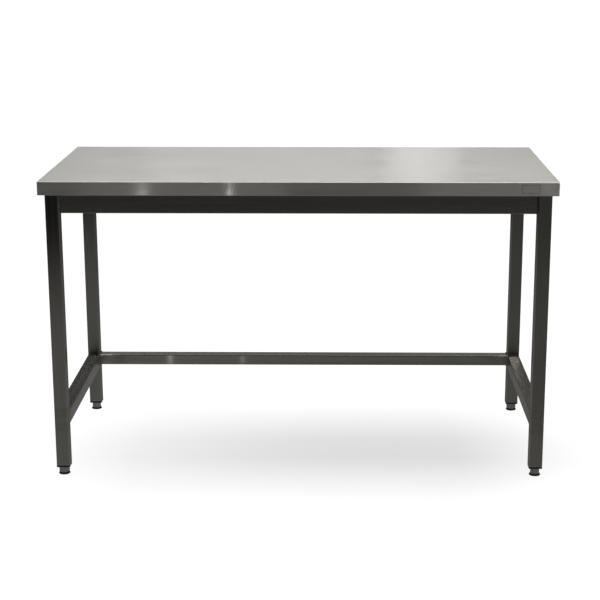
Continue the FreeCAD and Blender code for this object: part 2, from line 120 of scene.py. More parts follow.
def noise(tree, vector, scale, detail=3.0, roughness=0.55):
    """Value of a noise texture."""
    node = tree.nodes.new("ShaderNodeTexNoise")
    node.inputs["Detail"].default_value = detail
    node.inputs["Roughness"].default_value = roughness
    tree.links.new(vector, node.inputs["Vector"])
    if isinstance(scale, (int, float)):
        node.inputs["Scale"].default_value = scale
    else:
        tree.links.new(scale, node.inputs["Scale"])
    return node.outputs[0]


def blended(tree, factor, first, second):
    """Colour between first and second by factor."""
    node = tree.nodes.new("ShaderNodeMix")
    node.data_type = "RGBA"
    factor_in, first_in, second_in = node.inputs[0], node.inputs[6], node.inputs[7]
    for socket, value in ((factor_in, factor), (first_in, first), (second_in, second)):
        if isinstance(value, (int, float)):
            socket.default_value = value
        elif isinstance(value, tuple):
            socket.default_value = (*value, 1.0) if len(value) == 3 else value
        else:
            tree.links.new(value, socket)
    return node.outputs[2]


def between(tree, factor, first, second):
    """Number between first and second by factor."""
    node = tree.nodes.new("ShaderNodeMix")
    node.data_type = "FLOAT"
    tree.links.new(factor, node.inputs[0])
    for socket, value in ((node.inputs[2], first), (node.inputs[3], second)):
        if isinstance(value, (int, float)):
            socket.default_value = value
        else:
            tree.links.new(value, socket)
    return node.outputs[0]


def new_group(name, inputs, outputs):
    """Empty shader node group. inputs and outputs are (name, kind, default) and (name, kind)."""
    tree = bpy.data.node_groups.new(name, "ShaderNodeTree")
    for label, kind, default in inputs:
        socket = tree.interface.new_socket(label, in_out="INPUT", socket_type="NodeSocket" + kind)
        socket.default_value = default
    for label, kind in outputs:
        tree.interface.new_socket(label, in_out="OUTPUT", socket_type="NodeSocket" + kind)
    entry = tree.nodes.new("NodeGroupInput")
    leave = tree.nodes.new("NodeGroupOutput")
    return tree, entry.outputs, leave.inputs


def use_group(tree, group, **settings):
    """Places a group in tree, sets or links its inputs, and gives its output sockets."""
    node = tree.nodes.new("ShaderNodeGroup")
    node.node_tree = group
    for label, value in settings.items():
        socket = node.inputs[label.replace("_", " ")]
        if isinstance(value, bpy.types.NodeSocket):
            tree.links.new(value, socket)
        else:
            socket.default_value = value
    return node.outputs


# ---------------------------------------------------------------- effects that several finishes share
def make_brushed_grain():
    """Brush lines along the first axis of Vector: fine lines, broad bands, and cloudy patches."""
    tree, given, out = new_group(
        "brushed grain",
        [
            ("Vector", "Vector", (0.0, 0.0, 0.0)),
            ("Fine Lines", "Float", 900.0),
            ("Broad Bands", "Float", 70.0),
        ],
        [("Fine", "Float"), ("Broad", "Float"), ("Cloud", "Float"), ("Height", "Float")],
    )
    vector = given["Vector"]
    fine = noise(tree, scaled(tree, vector, (0.012, 1.0, 1.0)), given["Fine Lines"], 2.0, 0.6)
    broad = noise(tree, scaled(tree, vector, (0.02, 1.0, 1.0)), given["Broad Bands"], 3.0, 0.6)
    cloud = noise(tree, scaled(tree, vector, (0.6, 1.0, 1.0)), 7.0, 2.0, 0.5)
    height = number(tree, "ADD", fine, number(tree, "MULTIPLY", broad, 0.4))
    for label, value in (("Fine", fine), ("Broad", broad), ("Cloud", cloud), ("Height", height)):
        tree.links.new(value, out[label])
    return tree


def make_edge_wear_and_rim_shade():
    """1 along the edges of the box from Low to High, fading over Width, broken up by noise. It marks worn
    edges, and the painted shade along the badge's rim.
    """
    tree, given, out = new_group(
        "edge wear",
        [
            ("Vector", "Vector", (0.0, 0.0, 0.0)),
            ("Low", "Vector", (0.0, 0.0, 0.0)),
            ("High", "Vector", (1.0, 1.0, 1.0)),
            ("Width", "Float", 0.003),
        ],
        [("Wear and rim shade", "Float")],
    )
    place = split(tree, given["Vector"])
    low, high = split(tree, given["Low"]), split(tree, given["High"])
    near = []
    for i in range(3):
        from_low = number(tree, "SUBTRACT", place[i], low[i])
        from_high = number(tree, "SUBTRACT", high[i], place[i])
        near.append(number(tree, "MINIMUM", from_low, from_high))
    least = number(tree, "MINIMUM", near[0], near[1])
    most = number(tree, "MAXIMUM", near[0], near[1])
    middle = number(tree, "MAXIMUM", least, number(tree, "MINIMUM", most, near[2]))
    ragged = number(tree, "MULTIPLY", given["Width"], noise(tree, given["Vector"], 160.0, 3.0))
    reach = number(tree, "ADD", number(tree, "MULTIPLY", given["Width"], 0.4), ragged)
    tree.links.new(ranged(tree, middle, 0.0, reach, 1.0, 0.0), out["Wear and rim shade"])
    return tree


def make_hand_marks():
    """Fine random scratches and soft smudges, for surfaces that are wiped and worked on."""
    tree, given, out = new_group(
        "hand marks",
        [("Vector", "Vector", (0.0, 0.0, 0.0)), ("Scratch Scale", "Float", 9.0)],
        [("Scratch", "Float"), ("Smudge", "Float")],
    )
    vector = given["Vector"]
    lines = []
    for turn, stretch in ((0.5, (1.0, 0.04, 1.0)), (-0.9, (0.05, 1.0, 1.0)), (1.2, (1.0, 0.05, 1.0))):
        turned = tree.nodes.new("ShaderNodeVectorRotate")
        turned.rotation_type = "Z_AXIS"
        turned.inputs["Angle"].default_value = turn
        tree.links.new(vector, turned.inputs["Vector"])
        cell = tree.nodes.new("ShaderNodeTexVoronoi")
        cell.feature = "DISTANCE_TO_EDGE"
        tree.links.new(scaled(tree, turned.outputs[0], stretch), cell.inputs["Vector"])
        tree.links.new(given["Scratch Scale"], cell.inputs["Scale"])
        thin = ranged(tree, cell.outputs["Distance"], 0.0, 0.006, 1.0, 0.0)
        here = ranged(tree, noise(tree, turned.outputs[0], 5.0, 2.0), 0.55, 0.7)
        lines.append(number(tree, "MULTIPLY", thin, here))
    scratch = number(tree, "MAXIMUM", lines[0], number(tree, "MAXIMUM", lines[1], lines[2]))
    smudge = ranged(tree, noise(tree, vector, 4.0, 4.0, 0.6), 0.45, 0.75)
    tree.links.new(scratch, out["Scratch"])
    tree.links.new(smudge, out["Smudge"])
    return tree


# Colour that multiplies the steel, from outside a weld's heat zone (0) to the weld itself (1).
TINT_STOPS = (
    (0.0, (1.0, 1.0, 1.0)),
    (0.45, (1.0, 0.98, 0.93)),
    (0.75, (0.93, 0.91, 0.91)),
    (1.0, (0.97, 0.97, 0.97)),
)


def make_heat_tint():
    """Distance-based mask round a weld: 1 at the plane Along = Place, fading over Reach."""
    tree, given, out = new_group(
        "heat tint",
        [
            ("Along", "Float", 0.0),
            ("Place", "Float", 0.0),
            ("Reach", "Float", 0.02),
            ("Vector", "Vector", (0.0, 0.0, 0.0)),
        ],
        [("Near", "Float"), ("Tint", "Color")],
    )
    away = number(tree, "ABSOLUTE", number(tree, "SUBTRACT", given["Along"], given["Place"]))
    wobble = number(tree, "MULTIPLY", noise(tree, given["Vector"], 45.0, 2.0), given["Reach"])
    near = ranged(tree, away, 0.0, number(tree, "ADD", given["Reach"], wobble), 1.0, 0.0)
    ramp = tree.nodes.new("ShaderNodeValToRGB")
    while len(ramp.color_ramp.elements) < len(TINT_STOPS):
        ramp.color_ramp.elements.new(0.5)
    for element, (position, colour) in zip(ramp.color_ramp.elements, TINT_STOPS):
        element.position = position
        element.color = (*colour, 1.0)
    tree.links.new(near, ramp.inputs[0])
    tree.links.new(near, out["Near"])
    tree.links.new(ramp.outputs[0], out["Tint"])
    return tree


def make_moulded_skin():
    """Fine pebbled skin of moulded plastic, with a little scuffing."""
    tree, given, out = new_group(
        "moulded skin",
        [("Vector", "Vector", (0.0, 0.0, 0.0)), ("Pebble", "Float", 1400.0)],
        [("Height", "Float"), ("Scuff", "Float")],
    )
    pebble = noise(tree, given["Vector"], given["Pebble"], 2.0)
    scuff = ranged(tree, noise(tree, given["Vector"], 130.0, 4.0, 0.65), 0.52, 0.72)
    tree.links.new(pebble, out["Height"])
    tree.links.new(scuff, out["Scuff"])
    return tree


BRUSHED_GRAIN = make_brushed_grain()
EDGE_WEAR_AND_RIM_SHADE = make_edge_wear_and_rim_shade()
HAND_MARKS = make_hand_marks()
HEAT_TINT = make_heat_tint()
MOULDED_SKIN = make_moulded_skin()


# ---------------------------------------------------------------- finishes
def new_material(name):
    """A material with an empty tree but for its Principled shader. Gives material, tree, shader, place."""
    material = bpy.data.materials.new(name)
    material.use_nodes = True
    tree = material.node_tree
    tree.nodes.clear()
    shader = tree.nodes.new("ShaderNodeBsdfPrincipled")
    output = tree.nodes.new("ShaderNodeOutputMaterial")
    tree.links.new(shader.outputs[0], output.inputs["Surface"])
    place = tree.nodes.new("ShaderNodeTexCoord").outputs["Object"]
    return material, tree, shader, place


def along_grain(tree, place, axis):
    """Object place with the grain's axis first, so that brush lines run along it."""
    x, y, z = split(tree, place)
    order = {ALONG_X: (x, y, z), ALONG_Y: (y, x, z), ALONG_Z: (z, x, y)}[axis]
    joined = tree.nodes.new("ShaderNodeCombineXYZ")
    for socket, value in zip(joined.inputs, order):
        tree.links.new(value, socket)
    return joined.outputs[0]


def bumped(tree, shader, height, distance):
    """Feeds height to the shader's Normal through a Bump node."""
    bump = tree.nodes.new("ShaderNodeBump")
    bump.inputs["Strength"].default_value = 1.0
    bump.inputs["Distance"].default_value = distance
    tree.links.new(height, bump.inputs["Height"])
    tree.links.new(bump.outputs[0], shader.inputs["Normal"])


WORN_EDGE = (0.82, 0.82, 0.81)
EDGE_COLOUR_SHARE = 0.55
EDGE_GLOSS = 0.06
WELD_DULLNESS = 0.06
SCRATCH_SHARE = 0.5
SMUDGE_DULLNESS = 0.02
GRAIN_RELIEF = 0.03 * MM
# Which way the brush lines run, a hair off the axis so that it is never parallel to a face's normal.
TANGENTS = {
    ALONG_X: (1.0, 0.02, 0.0),
    ALONG_Y: (0.02, 1.0, 0.0),
    ALONG_Z: (0.0, 0.02, 1.0),
}


def brushed_steel(name, axis, box, tone, rough, welds=(), marks=0.0, edge=WORN_EDGE, relief=GRAIN_RELIEF):
    """Brushed stainless with its grain along axis, lighter worn edges and tinted weld zones. A dark edge
    colour paints shade along the rim in place of wear.

    box is the piece's two corners. welds are (axis, place) pairs. marks is how worn it is from work.
    """
    material, tree, shader, place = new_material(name)
    grain = use_group(tree, BRUSHED_GRAIN, Vector=along_grain(tree, place, axis))
    wear_and_rim_shade = use_group(tree, EDGE_WEAR_AND_RIM_SHADE, Vector=place, Low=box[0], High=box[1])["Wear and rim shade"]
    dark = tuple(c * 0.90 for c in tone)
    light = tuple(min(1.0, c * 1.07) for c in tone)
    colour = blended(tree, ranged(tree, grain["Fine"], 0.3, 0.7), dark, light)
    colour = blended(tree, number(tree, "MULTIPLY", grain["Broad"], 0.35), colour, light)
    colour = blended(tree, number(tree, "MULTIPLY", grain["Cloud"], 0.25), colour, dark)
    roughness = ranged(tree, grain["Broad"], 0.3, 0.7, rough - 0.04, rough + 0.05)
    if marks:
        hand = use_group(tree, HAND_MARKS, Vector=place)
        scratched = number(tree, "MULTIPLY", hand["Scratch"], SCRATCH_SHARE * marks)
        colour = blended(tree, scratched, colour, light)
        smudged = number(tree, "MULTIPLY", hand["Smudge"], SMUDGE_DULLNESS * marks)
        roughness = number(tree, "ADD", roughness, smudged)
    position = split(tree, place)
    for weld_axis, weld_place in welds:
        zone = use_group(tree, HEAT_TINT, Along=position[weld_axis], Place=weld_place, Vector=place)
        tinted = tree.nodes.new("ShaderNodeMix")
        tinted.data_type = "RGBA"
        tinted.blend_type = "MULTIPLY"
        tinted.inputs[0].default_value = 1.0
        tree.links.new(colour, tinted.inputs[6])
        tree.links.new(zone["Tint"], tinted.inputs[7])
        colour = tinted.outputs[2]
        roughness = number(tree, "ADD", roughness, number(tree, "MULTIPLY", zone["Near"], WELD_DULLNESS))
    # Edge colour over the edge mask: lighter for worn edges; near-black on the badge, as painted shade
    # along its rim.
    colour = blended(tree, number(tree, "MULTIPLY", wear_and_rim_shade, EDGE_COLOUR_SHARE), colour, edge)
    rubbed = number(tree, "MULTIPLY", wear_and_rim_shade, EDGE_GLOSS)
    roughness = number(tree, "SUBTRACT", roughness, rubbed, clamp=True)
    tree.links.new(colour, shader.inputs["Base Color"])
    tree.links.new(roughness, shader.inputs["Roughness"])
    shader.inputs["Metallic"].default_value = 1.0
    shader.inputs["Anisotropic"].default_value = 1.0
    shader.inputs["Anisotropic Rotation"].default_value = 0.25
    tangent = tree.nodes.new("ShaderNodeCombineXYZ")
    for socket, value in zip(tangent.inputs, TANGENTS[axis]):
        socket.default_value = value
    tree.links.new(tangent.outputs[0], shader.inputs["Tangent"])
    bumped(tree, shader, grain["Height"], relief)
    return material


PLASTIC_BLACK = (0.012, 0.012, 0.013)
PLASTIC_SCUFF = (0.05, 0.05, 0.05)
PLASTIC_RELIEF = 0.04 * MM


def black_plastic(name):
    """Matt black moulded plastic, greyer where it is scuffed."""
    material, tree, shader, place = new_material(name)
    skin = use_group(tree, MOULDED_SKIN, Vector=place)
    scuffed = number(tree, "MULTIPLY", skin["Scuff"], 0.5)
    colour = blended(tree, scuffed, PLASTIC_BLACK, PLASTIC_SCUFF)
    tree.links.new(colour, shader.inputs["Base Color"])
    tree.links.new(ranged(tree, skin["Height"], 0.3, 0.7, 0.42, 0.58), shader.inputs["Roughness"])
    shader.inputs["Specular IOR Level"].default_value = 0.45
    bumped(tree, shader, skin["Height"], PLASTIC_RELIEF)
    return material


BOARD_FACE = (0.33, 0.31, 0.28)
BOARD_CHIP = (0.47, 0.45, 0.41)
BOARD_MOTTLE = (0.52, 0.50, 0.47)
BOARD_RELIEF = 0.08 * MM


def faced_board(name):
    """Grey paper-faced particle board with faint chips and a slightly mottled face."""
    material, tree, shader, place = new_material(name)
    chips = tree.nodes.new("ShaderNodeTexVoronoi")
    chips.inputs["Scale"].default_value = 260.0
    tree.links.new(scaled(tree, place, (1.0, 0.6, 1.0)), chips.inputs["Vector"])
    chip = ranged(tree, chips.outputs["Distance"], 0.1, 0.7)
    mottle = noise(tree, place, 22.0, 5.0, 0.6)
    colour = blended(tree, chip, BOARD_FACE, BOARD_CHIP)
    colour = blended(tree, number(tree, "MULTIPLY", mottle, 0.6), colour, BOARD_MOTTLE)
    tree.links.new(colour, shader.inputs["Base Color"])
    tree.links.new(ranged(tree, mottle, 0.3, 0.7, 0.62, 0.8), shader.inputs["Roughness"])
    bumped(tree, shader, chip, BOARD_RELIEF)
    return material


METAL_RELIEF = 0.03 * MM


def bright_metal(name, tone, rough, scale=240.0):
    """Small turned or plated metal parts: streaky tone, tiny dents, slightly uneven gloss."""
    material, tree, shader, place = new_material(name)
    streak = noise(tree, scaled(tree, place, (1.0, 1.0, 6.0)), scale, 3.0)
    blot = noise(tree, place, 60.0, 3.0)
    colour = blended(tree, streak, tuple(c * 0.82 for c in tone), tone)
    tree.links.new(colour, shader.inputs["Base Color"])
    tree.links.new(ranged(tree, blot, 0.3, 0.7, rough - 0.06, rough + 0.08), shader.inputs["Roughness"])
    shader.inputs["Metallic"].default_value = 1.0
    bumped(tree, shader, streak, METAL_RELIEF)
    return material


def give(piece, material):
    """Puts one material on all of a piece."""
    piece.data.materials.clear()
    piece.data.materials.append(material)
    for face in piece.data.polygons:
        face.material_index = 0


# ---------------------------------------------------------------- modelling helpers
def start_piece(name, add, **settings):
    """Adds a primitive with nothing else selected, opens it for editing, and gives the object."""
    bpy.ops.object.select_all(action="DESELECT")
    add(**settings)
    piece = bpy.context.object
    piece.name = name
    bpy.ops.object.mode_set(mode="EDIT")
    bpy.ops.mesh.select_all(action="SELECT")
    return piece


def put_down(piece):
    """Ends editing, points the faces outwards and bakes the place into the mesh."""
    bpy.ops.mesh.select_all(action="SELECT")
    bpy.ops.mesh.remove_doubles(threshold=0.001 * MM)
    bpy.ops.mesh.normals_make_consistent(inside=False)
    bpy.ops.object.mode_set(mode="OBJECT")
    bpy.ops.object.transform_apply(location=True, rotation=True, scale=True)
    return piece


def select_where(piece, kind, test):
    """In edit mode, selects just the faces, edges or corners whose middle passes the test."""
    bpy.ops.mesh.select_all(action="DESELECT")
    bpy.ops.mesh.select_mode(type=kind)
    bpy.ops.object.mode_set(mode="OBJECT")
    mesh = piece.data
    if kind == "FACE":
        for face in mesh.polygons:
            face.select = test(face.center)
    elif kind == "EDGE":
        for edge in mesh.edges:
            a, b = (mesh.vertices[i].co for i in edge.vertices)
            edge.select = test((a + b) / 2) and test(a) and test(b)
    else:
        for corner in mesh.vertices:
            corner.select = test(corner.co)
    bpy.ops.object.mode_set(mode="EDIT")


def modified(piece, kind, **settings):
    """Adds a modifier of this kind and applies it."""
    modifier = piece.modifiers.new(kind.lower(), kind)
    for name, value in settings.items():
        setattr(modifier, name, value)
    bpy.ops.object.select_all(action="DESELECT")
    piece.select_set(True)
    bpy.context.view_layer.objects.active = piece
    bpy.ops.object.modifier_apply(modifier=modifier.name)


def copied(piece, move, turn=0.0):
    """A copy of piece with a mesh of its own, turned about the Z axis and then moved."""
    bpy.ops.object.select_all(action="DESELECT")
    piece.select_set(True)
    bpy.context.view_layer.objects.active = piece
    bpy.ops.object.duplicate(linked=False)
    copy = bpy.context.object
    bpy.ops.object.mode_set(mode="EDIT")
    bpy.ops.mesh.select_all(action="SELECT")
    if turn:
        bpy.ops.transform.rotate(value=-turn, orient_axis="Z", center_override=(0.0, 0.0, 0.0))
    bpy.ops.transform.translate(value=move)
    bpy.ops.object.mode_set(mode="OBJECT")
    return copy


def joined(pieces, name):
    """All pieces as one object called name."""
    bpy.ops.object.select_all(action="DESELECT")
    for piece in pieces:
        piece.select_set(True)
    bpy.context.view_layer.objects.active = pieces[0]
    if len(pieces) > 1:
        bpy.ops.object.join()
    pieces[0].name = name
    pieces[0].data.name = name
    return pieces[0]


def hand_over(piece, body, replaced, material, smooth_below=35.0):
    """Smooth shading, finish, body and the CAD nodes that piece stands for."""
    bpy.ops.object.select_all(action="DESELECT")
    piece.select_set(True)
    bpy.context.view_layer.objects.active = piece
    bpy.ops.object.shade_smooth_by_angle(angle=math.radians(smooth_below))
    give(piece, material)
    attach(piece, body)
    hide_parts(*replaced)


# ---------------------------------------------------------------- threaded studs
THREAD_PITCH = 1.5 * MM
THREAD_DEPTH = 0.7 * MM
THREAD_STEPS = 20
THREAD_END_GAP = 1.2 * MM
STUD_CHAMFER = 0.6 * MM
A_HAIR = 0.01 * MM


def make_stud(corner, material):
    """Threaded stud: a chamfered core with a helical ridge wound round it."""
    low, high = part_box(corner + "_stud")
    middle = (low + high) / 2
    crest = (high.x - low.x) / 2
    root = crest - THREAD_DEPTH
    place = (middle.x, middle.y, middle.z)
    core = start_piece(
        corner + "_stud_core",
        bpy.ops.mesh.primitive_cylinder_add,
        vertices=28,
        radius=root,
        depth=high.z - low.z,
        location=place,
    )
    half = (high.z - low.z) / 2
    select_where(core, "EDGE", lambda at: abs(at.z) > half - A_HAIR)
    bpy.ops.mesh.bevel(offset=STUD_CHAMFER, segments=1)
    put_down(core)
    ridge = start_piece(
        corner + "_stud_ridge",
        bpy.ops.mesh.primitive_circle_add,
        vertices=6,
        radius=THREAD_PITCH / 2,
        fill_type="NOTHING",
    )
    bpy.ops.transform.rotate(value=math.radians(90), orient_axis="X", center_override=(0.0, 0.0, 0.0))
    flat = THREAD_PITCH / 2 * math.cos(math.radians(30))
    bpy.ops.transform.translate(value=(crest - flat, 0.0, 0.0))
    bpy.ops.object.mode_set(mode="OBJECT")
    turns = int((high.z - low.z - 2 * THREAD_END_GAP) / THREAD_PITCH) - 1
    modified(
        ridge,
        "SCREW",
        axis="Z",
        angle=2 * math.pi,
        screw_offset=THREAD_PITCH,
        iterations=turns,
        steps=THREAD_STEPS,
        render_steps=THREAD_STEPS,
        use_merge_vertices=False,
    )
    bpy.ops.object.mode_set(mode="EDIT")
    bpy.ops.mesh.select_all(action="SELECT")
    bpy.ops.mesh.fill_holes(sides=6)
    bpy.ops.mesh.select_all(action="SELECT")
    bpy.ops.transform.translate(value=(middle.x, middle.y, low.z + THREAD_END_GAP + THREAD_PITCH / 2))
    put_down(ridge)
    stud = joined([core, ridge], corner + "_threaded_stud")
    hand_over(stud, corner + "_adjuster", [corner + "_stud"], material)


# ---------------------------------------------------------------- screws under the brackets
SCREW_RADIUS = 2.2 * MM
SCREW_LENGTH = 16.0 * MM
SCREW_TIP = 4.0 * MM
SCREW_HEAD_RADIUS = 4.2 * MM
SCREW_HEAD_HEIGHT = 2.4 * MM
SCREW_HEAD_ROUND = 1.3 * MM
SCREW_SPACING = 28.0 * MM
SCREW_FROM_CORNER = 15.0 * MM
BRACKET_SHEET = 2.0 * MM
RECESS_LENGTH = 4.6 * MM
RECESS_WIDTH = 1.1 * MM
RECESS_DEPTH = 1.5 * MM
RECESS_TAPER = 0.55


def make_screw():
    """One pan-head screw at the origin, head down, with a cross recess."""
    head = start_piece(
        "screw_head",
        bpy.ops.mesh.primitive_cylinder_add,
        vertices=32,
        radius=SCREW_HEAD_RADIUS,
        depth=SCREW_HEAD_HEIGHT,
        location=(0.0, 0.0, -SCREW_HEAD_HEIGHT / 2),
    )
    bottom = -SCREW_HEAD_HEIGHT / 2 + A_HAIR
    select_where(head, "EDGE", lambda at: at.z < bottom)
    bpy.ops.mesh.bevel(offset=SCREW_HEAD_ROUND, segments=4)
    put_down(head)
    for turn in (0.0, math.pi / 2):
        slot = start_piece(
            "recess_cutter",
            bpy.ops.mesh.primitive_cube_add,
            size=1.0,
            location=(0.0, 0.0, -SCREW_HEAD_HEIGHT),
            rotation=(0.0, 0.0, turn),
            scale=(RECESS_LENGTH, RECESS_WIDTH, RECESS_DEPTH * 2),
        )
        select_where(slot, "FACE", lambda at: at.z > 0.4)
        bpy.ops.transform.resize(value=(RECESS_TAPER, RECESS_TAPER, 1.0))
        put_down(slot)
        modified(head, "BOOLEAN", operation="DIFFERENCE", object=slot, solver="EXACT")
        bpy.data.objects.remove(slot)
    shank = start_piece(
        "screw_shank",
        bpy.ops.mesh.primitive_cylinder_add,
        vertices=20,
        radius=SCREW_RADIUS,
        depth=SCREW_LENGTH,
        location=(0.0, 0.0, SCREW_LENGTH / 2),
    )
    bpy.ops.mesh.bisect(plane_co=(0.0, 0.0, SCREW_LENGTH - SCREW_TIP), plane_no=(0.0, 0.0, 1.0))
    select_where(shank, "VERT", lambda at: at.z > SCREW_LENGTH / 2 - A_HAIR)
    bpy.ops.mesh.merge(type="CENTER")
    put_down(shank)
    return joined([head, shank], "screw")


def bracket_facing(name):
    """Middle of a bracket's back edge, at the underside of its top leg, and its turn about Z."""
    low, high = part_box(name)
    z = high.z - BRACKET_SHEET
    x, y = (low.x + high.x) / 2, (low.y + high.y) / 2
    if name.startswith("front"):
        return (x, low.y, z), 0.0
    if name.startswith("rear"):
        return (x, high.y, z), math.pi
    if name.startswith("left"):
        return (low.x, y, z), -math.pi / 2
    return (high.x, y, z), math.pi / 2


def make_screws(material):
    """Two screws in every bracket, each turned a little differently."""
    screw = make_screw()
    screws = []
    for index, name in enumerate(BRACKETS):
        (x, y, z), turn = bracket_facing(name + "_bracket")
        for side in (-1, 1):
            along, inward = side * SCREW_SPACING / 2, SCREW_FROM_CORNER
            dx = along * math.cos(turn) - inward * math.sin(turn)
            dy = along * math.sin(turn) + inward * math.cos(turn)
            screws.append(copied(screw, (x + dx, y + dy, z), turn=0.7 * index + 0.4 * side))
    bpy.data.objects.remove(screw)
    piece = joined(screws, "cross_recess_screws")
    hand_over(piece, "table", ["bracket_screws"], material)


# ---------------------------------------------------------------- rippled welds
RIPPLE_PITCH = 1.1 * MM
RIPPLE_RADIUS = 2.3 * MM
RIPPLE_THICKNESS = 0.45
BEAD_INSET = 0.9 * MM
RIPPLE_LEAN = math.radians(18)
TUBE_CORNER = 3.0 * MM


def make_bead(start, end, off_corner):
    """A row of overlapping ripples from start to end, set off_corner away from the two faces it joins."""
    start, end = Vector(start), Vector(end)
    run = end - start
    count = max(2, int(run.length / RIPPLE_PITCH))
    bead = start_piece(
        "bead",
        bpy.ops.mesh.primitive_uv_sphere_add,
        segments=8,
        ring_count=6,
        radius=RIPPLE_RADIUS,
        rotation=(0.0, math.radians(90), 0.0),
    )
    bpy.ops.transform.resize(value=(RIPPLE_THICKNESS, 1.0, 1.0))
    bpy.ops.transform.rotate(value=RIPPLE_LEAN, orient_axis="Y", center_override=(0.0, 0.0, 0.0))
    put_down(bead)
    step = run.length / count
    modified(
        bead,
        "ARRAY",
        count=count,
        use_relative_offset=False,
        use_constant_offset=True,
        constant_offset_displace=(step, 0.0, 0.0),
    )
    bead.rotation_mode = "QUATERNION"
    bead.rotation_quaternion = Vector((1.0, 0.0, 0.0)).rotation_difference(run)
    bead.location = start + run.normalized() * step / 2 + Vector(off_corner) * BEAD_INSET
    bpy.ops.object.select_all(action="DESELECT")
    bead.select_set(True)
    bpy.context.view_layer.objects.active = bead
    bpy.ops.object.transform_apply(location=True, rotation=True, scale=True)
    return bead


def apron_beads():
    """Beads where the aprons meet the legs: down the outer face and along the underside."""
    beads = []
    under_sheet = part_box("worktop_sheet")[0].z
    for corner, (side_x, side_y) in CORNERS.items():
        leg_low, leg_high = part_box(corner + "_leg")
        long_low, long_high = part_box(("front" if side_y < 0 else "rear") + "_apron")
        short_low, short_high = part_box(("left" if side_x < 0 else "right") + "_apron")
        x = leg_high.x if side_x < 0 else leg_low.x
        y = leg_high.y if side_y < 0 else leg_low.y
        out_y = long_low.y if side_y < 0 else long_high.y
        out_x = short_low.x if side_x < 0 else short_high.x
        low, top = long_low.z + TUBE_CORNER, under_sheet - 1.0 * MM
        beads.append(make_bead((x, out_y, low), (x, out_y, top), (-side_x, side_y, 0)))
        beads.append(make_bead((out_x, y, low), (out_x, y, top), (side_x, -side_y, 0)))
        inset = side_y * TUBE_CORNER
        under = long_low.z
        beads.append(make_bead((x, y + inset, under), (x, out_y - inset, under), (-side_x, 0, -1)))
        inset = side_x * TUBE_CORNER
        beads.append(make_bead((x + inset, y, under), (out_x - inset, y, under), (0, -side_y, -1)))
    return beads


def cross_rail_beads():
    """Beads round the ends of the cross rail under the worktop."""
    beads = []
    low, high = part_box("centre_cross_rail")
    for side_y, y in ((-1, low.y), (1, high.y)):
        for side_x, x in ((-1, low.x), (1, high.x)):
            start, end = (x, y, low.z + TUBE_CORNER), (x, y, high.z - TUBE_CORNER)
            beads.append(make_bead(start, end, (side_x, -side_y, 0)))
        start, end = (low.x + TUBE_CORNER, y, low.z), (high.x - TUBE_CORNER, y, low.z)
        beads.append(make_bead(start, end, (0, -side_y, -1)))
    return beads


def lower_rail_beads():
    """Beads on top of and under both ends of the three lower rails."""
    beads = []
    for name, side_x in (("left_lower_rail", -1), ("right_lower_rail", 1)):
        low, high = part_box(name)
        for side_y, y in ((-1, low.y), (1, high.y)):
            for up, z in ((1, high.z), (-1, low.z)):
                start, end = (low.x + TUBE_CORNER, y, z), (high.x - TUBE_CORNER, y, z)
                beads.append(make_bead(start, end, (0, -side_y, up)))
    low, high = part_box("rear_lower_rail")
    for side_x, x in ((-1, low.x), (1, high.x)):
        for up, z in ((1, high.z), (-1, low.z)):
            start, end = (x, low.y + TUBE_CORNER, z), (x, high.y - TUBE_CORNER, z)
            beads.append(make_bead(start, end, (-side_x, 0, up)))
    return beads


def make_welds(material):
    """All weld beads, as one piece up at the aprons and one down at the lower rails."""
    upper = joined(apron_beads() + cross_rail_beads(), "rippled_apron_welds")
    hand_over(upper, "table", ["apron_welds"], material, smooth_below=60.0)
    lower = joined(lower_rail_beads(), "rippled_lower_rail_welds")
    hand_over(lower, "table", ["lower_rail_welds"], material, smooth_below=60.0)


# ---------------------------------------------------------------- who gets which finish
FRAME_TONE = (0.365, 0.357, 0.328)
# Darker copy of the frame steel for the aprons and cross rail: painted shade under the worktop.
APRON_PAINTED_SHADE_TONE = (0.315, 0.306, 0.284)
# Lighter copy of the frame steel for the rear lower rail: painted light.
REAR_RAIL_PAINTED_LIGHT_TONE = (0.50, 0.49, 0.455)
TOP_TONE = (0.745, 0.738, 0.712)
# Near-black edge colour for the badge: painted shade in the seam round its rim.
BADGE_RIM_PAINTED_SHADE = (0.08, 0.08, 0.078)
FAINT_RELIEF = 0.006 * MM
FRAME_ROUGHNESS = 0.23
TOP_ROUGHNESS = 0.33


